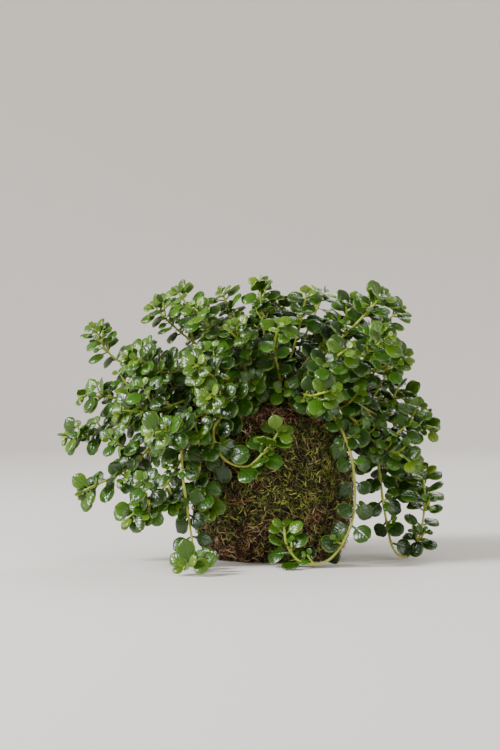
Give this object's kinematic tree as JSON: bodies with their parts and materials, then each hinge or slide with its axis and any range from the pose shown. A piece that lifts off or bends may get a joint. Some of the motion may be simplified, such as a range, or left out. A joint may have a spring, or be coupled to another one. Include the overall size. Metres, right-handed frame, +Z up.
{
  "type": "kokedama",
  "caption": "Kokedama: a soil ball wrapped in sheet moss and bound with thread, with a creeping small-leaved plant that grows from its open top and trails over the sides.",
  "frame": {"origin": "the middle of the small flat spot that the moss ball rests on", "axes": "+Z up along the ball's own axis, -Y towards the side seen in the picture, +X to that view's right"},
  "size_m": [0.2276, 0.2077, 0.1685],
  "materials": {
    "moss": "matte",
    "soil": "matte",
    "thread": "matte",
    "leafy_stem": "satin"
  },
  "bodies": {
    "root": {"moss_wrap": "moss", "soil_ball": "soil", "binding_thread": "thread", "leafy_stem_top_01": "leafy_stem", "leafy_stem_top_02": "leafy_stem", "leafy_stem_top_03": "leafy_stem", "leafy_stem_top_04": "leafy_stem", "leafy_stem_top_05": "leafy_stem", "leafy_stem_top_06": "leafy_stem", "leafy_stem_top_07": "leafy_stem", "leafy_stem_top_08": "leafy_stem", "leafy_stem_top_09": "leafy_stem", "leafy_stem_top_10": "leafy_stem", "leafy_stem_top_11": "leafy_stem", "leafy_stem_top_12": "leafy_stem", "leafy_stem_top_13": "leafy_stem", "leafy_stem_top_14": "leafy_stem", "leafy_stem_top_15": "leafy_stem", "leafy_stem_left_01": "leafy_stem", "leafy_stem_left_02": "leafy_stem", "leafy_stem_left_03": "leafy_stem", "leafy_stem_left_04": "leafy_stem", "leafy_stem_left_05": "leafy_stem", "leafy_stem_left_06": "leafy_stem", "leafy_stem_left_07": "leafy_stem", "leafy_stem_left_08": "leafy_stem", "leafy_stem_left_09": "leafy_stem", "leafy_stem_right_01": "leafy_stem", "leafy_stem_right_02": "leafy_stem", "leafy_stem_right_03": "leafy_stem", "leafy_stem_right_04": "leafy_stem", "leafy_stem_right_05": "leafy_stem", "leafy_stem_right_06": "leafy_stem", "leafy_stem_right_07": "leafy_stem", "leafy_stem_back_01": "leafy_stem", "leafy_stem_back_02": "leafy_stem", "leafy_stem_back_03": "leafy_stem", "leafy_stem_back_04": "leafy_stem", "leafy_stem_back_05": "leafy_stem", "leafy_stem_back_06": "leafy_stem", "leafy_stem_back_07": "leafy_stem", "leafy_stem_back_08": "leafy_stem", "leafy_stem_back_09": "leafy_stem", "leafy_stem_back_10": "leafy_stem", "leafy_stem_back_11": "leafy_stem", "leafy_stem_trailing_front_left": "leafy_stem", "leafy_stem_trailing_front_inner": "leafy_stem", "leafy_stem_trailing_front_right": "leafy_stem", "leafy_stem_trailing_front_sprig": "leafy_stem", "leafy_stem_trailing_right": "leafy_stem"}
  },
  "joints": []
}
